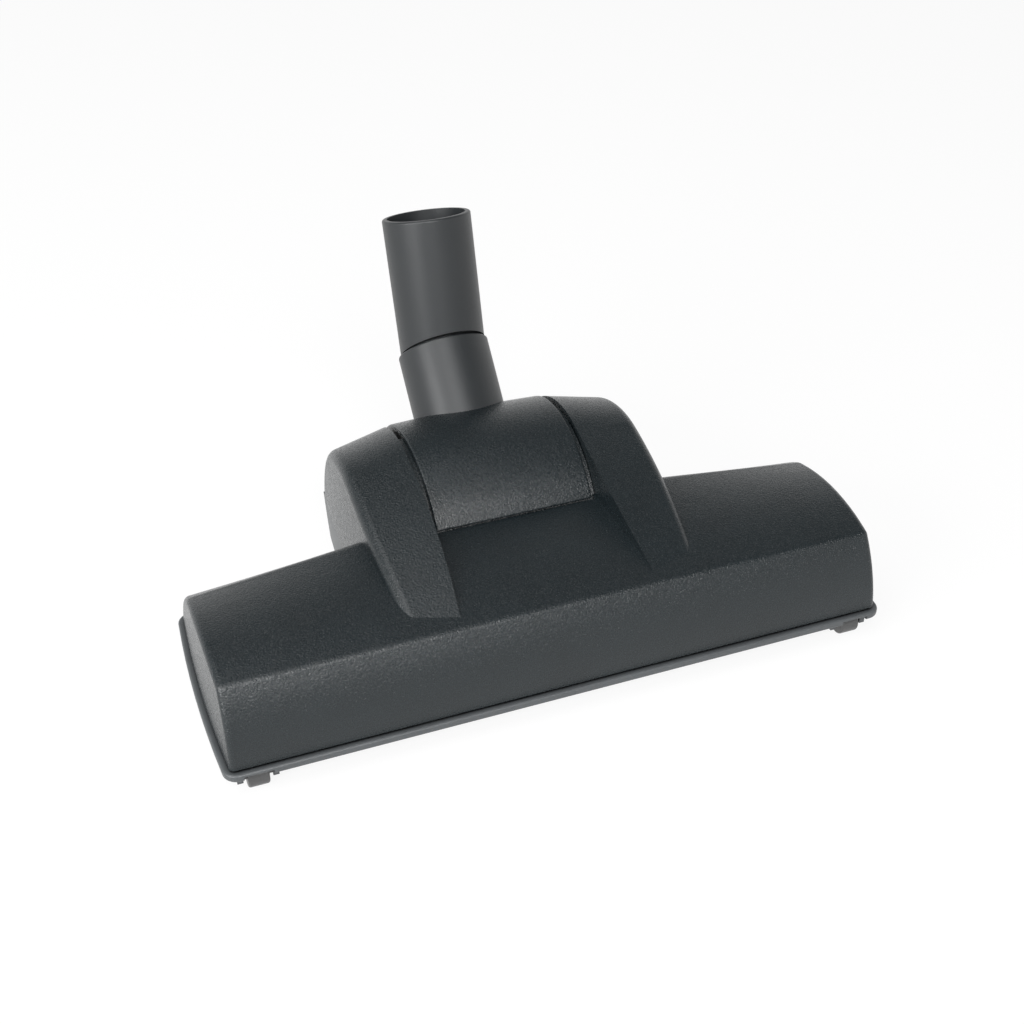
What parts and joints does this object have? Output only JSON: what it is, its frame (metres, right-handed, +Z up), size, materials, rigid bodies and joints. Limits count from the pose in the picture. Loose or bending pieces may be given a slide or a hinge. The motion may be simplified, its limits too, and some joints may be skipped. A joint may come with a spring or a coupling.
{
  "type": "vacuum floor brush head",
  "caption": "Wide low air-driven floor brush head with a forked rear, a tilting neck under a roll-top cover, and a bent swivel tube with a wand socket.",
  "frame": {"origin": "on the floor, in the middle of the overall width and length", "axes": "+X across the head to its right, +Y backwards from the front edge, +Z up"},
  "size_m": [0.2872, 0.2011, 0.1451],
  "materials": {
    "textured_plastic": "spark-eroded charcoal",
    "satin_plastic": "satin charcoal",
    "base_plastic": "satin charcoal",
    "roller_plastic": "satin dark grey",
    "drive_plastic": "satin black",
    "nylon_bristle": "bundled fibre",
    "tyre_rubber": "matt",
    "belt_rubber": "matt",
    "bush_bronze": "sintered",
    "steel": "ground",
    "felt": "pressed felt"
  },
  "bodies": {
    "head": {"upper_shell": "textured_plastic", "base_housing": "base_plastic", "sole_plate": "base_plastic", "drive_belt": "belt_rubber", "turbine_cover": "drive_plastic", "housing_screws": "steel", "bearing_holder_left": "drive_plastic", "bearing_holder_right": "drive_plastic", "brush_bush_left": "bush_bronze", "brush_bush_right": "bush_bronze", "turbine_bush_left": "bush_bronze", "turbine_bush_right": "bush_bronze", "pivot_bush_left": "bush_bronze", "pivot_bush_right": "bush_bronze", "rear_axle_left": "steel", "rear_axle_right": "steel"},
    "neck": {"neck_elbow": "satin_plastic", "knuckle_cover": "textured_plastic"},
    "tube": {"swivel_tube": "satin_plastic", "swivel_ring": "drive_plastic", "swivel_seal": "felt"},
    "brush": {"brush_core": "drive_plastic", "bristle_tufts": "nylon_bristle", "brush_pulley": "drive_plastic"},
    "turbine": {"turbine_wheel": "drive_plastic", "turbine_shaft": "steel", "turbine_pinion": "drive_plastic"},
    "front_roller_left": {"front_roller_left": "roller_plastic"},
    "rear_wheel_left": {"rear_wheel_left": "roller_plastic", "rear_tyre_left": "tyre_rubber"},
    "sole_lock_left": {"sole_lock_left": "base_plastic"},
    "front_roller_right": {"front_roller_right": "roller_plastic"},
    "rear_wheel_right": {"rear_wheel_right": "roller_plastic", "rear_tyre_right": "tyre_rubber"},
    "sole_lock_right": {"sole_lock_right": "base_plastic"}
  },
  "joints": [
    {"name": "neck_tilt", "type": "hinge", "parent": "head", "child": "neck", "pos_m": [0, 0.00734, 0.026], "axis": [-1, 0, 0], "range_deg": [0, 45]},
    {"name": "tube_swivel", "type": "hinge", "parent": "neck", "child": "tube", "pos_m": [0, 0.06292, 0.08158], "axis": [0, 0.7071, 0.7071], "continuous": true},
    {"name": "brush_spin", "type": "hinge", "parent": "head", "child": "brush", "pos_m": [0, -0.07026, 0.0205], "axis": [1, 0, 0], "continuous": true},
    {"name": "turbine_spin", "type": "hinge", "parent": "head", "child": "turbine", "pos_m": [0, -0.03026, 0.0245], "axis": [1, 0, 0], "continuous": true},
    {"name": "front_roller_left_spin", "type": "hinge", "parent": "head", "child": "front_roller_left", "pos_m": [-0.1287, -0.09306, 0.005], "axis": [1, 0, 0], "continuous": true},
    {"name": "rear_wheel_left_spin", "type": "hinge", "parent": "head", "child": "rear_wheel_left", "pos_m": [-0.0505, 0.02674, 0.015], "axis": [1, 0, 0], "continuous": true},
    {"name": "sole_lock_left_turn", "type": "hinge", "parent": "head", "child": "sole_lock_left", "pos_m": [-0.07, -0.04176, 0.004], "axis": [0, 0, 1], "range_deg": [0, 90]},
    {"name": "front_roller_right_spin", "type": "hinge", "parent": "head", "child": "front_roller_right", "pos_m": [0.1287, -0.09306, 0.005], "axis": [1, 0, 0], "continuous": true},
    {"name": "rear_wheel_right_spin", "type": "hinge", "parent": "head", "child": "rear_wheel_right", "pos_m": [0.0505, 0.02674, 0.015], "axis": [1, 0, 0], "continuous": true},
    {"name": "sole_lock_right_turn", "type": "hinge", "parent": "head", "child": "sole_lock_right", "pos_m": [0.07, -0.04176, 0.004], "axis": [0, 0, 1], "range_deg": [0, 90]}
  ],
  "couplings": [
    {"joint": "turbine_spin", "follows": "brush_spin", "ratio": 1.9565}
  ]
}
